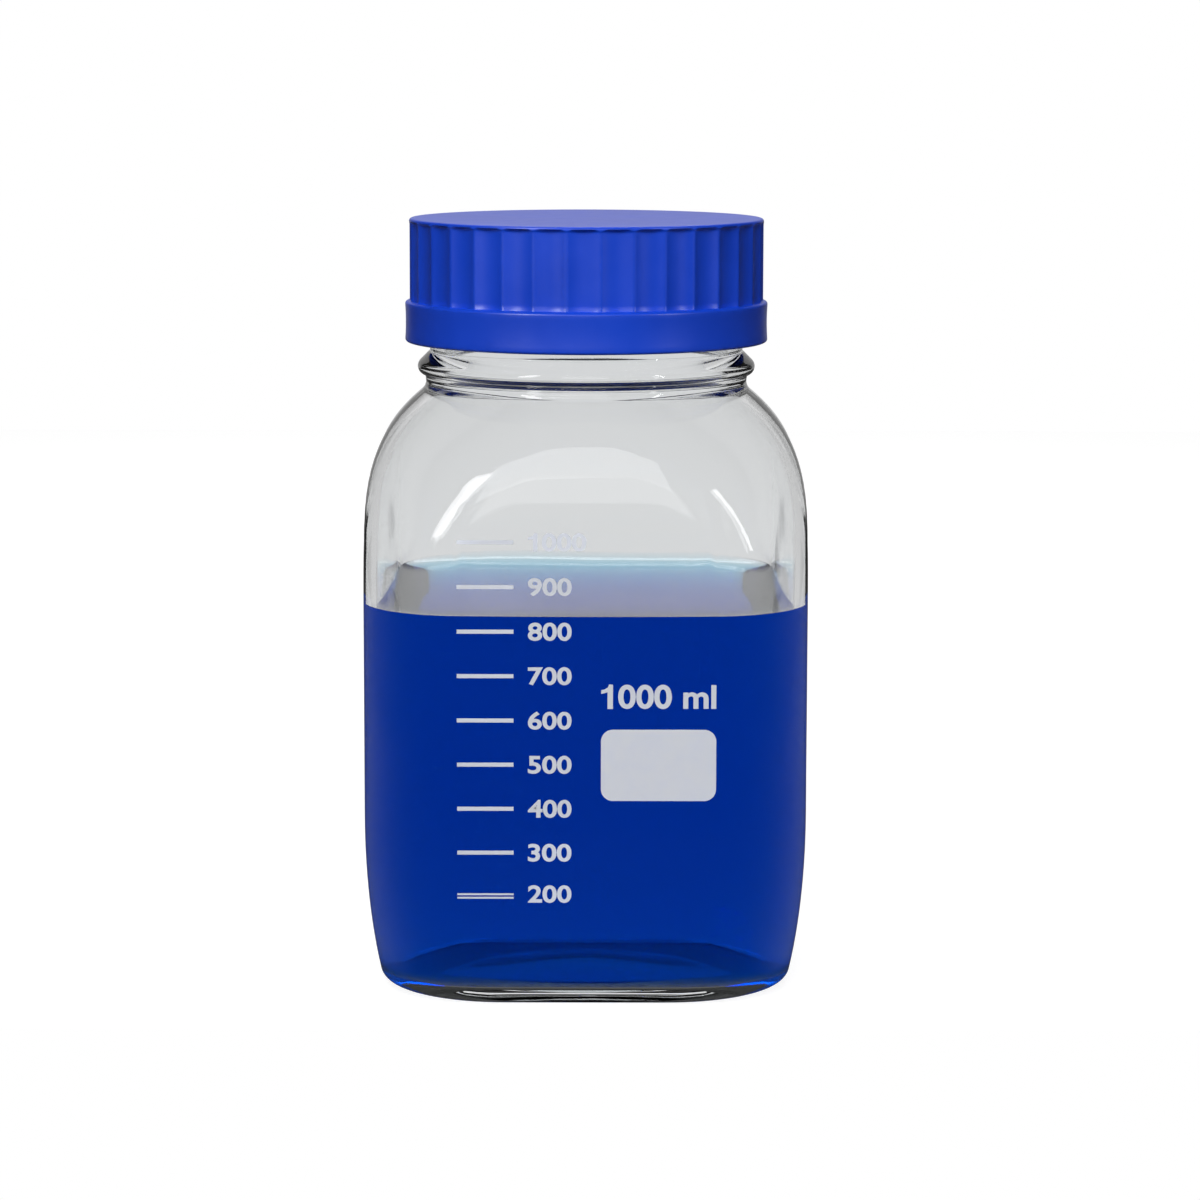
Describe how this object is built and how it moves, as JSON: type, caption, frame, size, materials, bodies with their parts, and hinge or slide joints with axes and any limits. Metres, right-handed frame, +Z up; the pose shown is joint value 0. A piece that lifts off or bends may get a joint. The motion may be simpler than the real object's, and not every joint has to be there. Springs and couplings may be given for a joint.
{
  "type": "square media bottle",
  "caption": "Square wide-mouth laboratory glass bottle, graduated, part filled with blue liquid, with a fluted plastic screw cap that unscrews and lifts off.",
  "frame": {"origin": "centre of the base, on the surface that the bottle stands on", "axes": "+Z up the bottle's axis through the cap, -Y out of the printed face, +X to the right of someone who reads the print"},
  "size_m": [0.1056, 0.1056, 0.1835],
  "materials": {
    "clear_glass": "clear blown borosilicate glass, fire polished",
    "blue_liquid": "deep blue clear water-like liquid",
    "white_enamel": "fired white ceramic enamel print",
    "ring_plastic": "moulded blue polypropylene",
    "silicone": "pale silicone, matt",
    "cap_plastic": "moulded blue polypropylene, satin"
  },
  "bodies": {
    "bottle": {"glass_bottle": "clear_glass", "liquid": "blue_liquid", "graduation_marks": "white_enamel", "writing_panel": "white_enamel", "pouring_ring": "ring_plastic"},
    "seal": {"seal_disc": "silicone"},
    "cap": {"screw_cap": "cap_plastic"}
  },
  "joints": [
    {"name": "cap_lift", "type": "slide", "parent": "bottle", "child": "seal", "axis": [0, 0, 1], "range_m": [0, 0.0321]},
    {"name": "cap_turn", "type": "hinge", "parent": "seal", "child": "cap", "pos_m": [0, 0, 0.17], "axis": [0, 0, 1], "range_deg": [0, 720]}
  ],
  "couplings": [
    {"joint": "cap_lift", "follows": "cap_turn", "m_per_rad": 0.0025465}
  ]
}
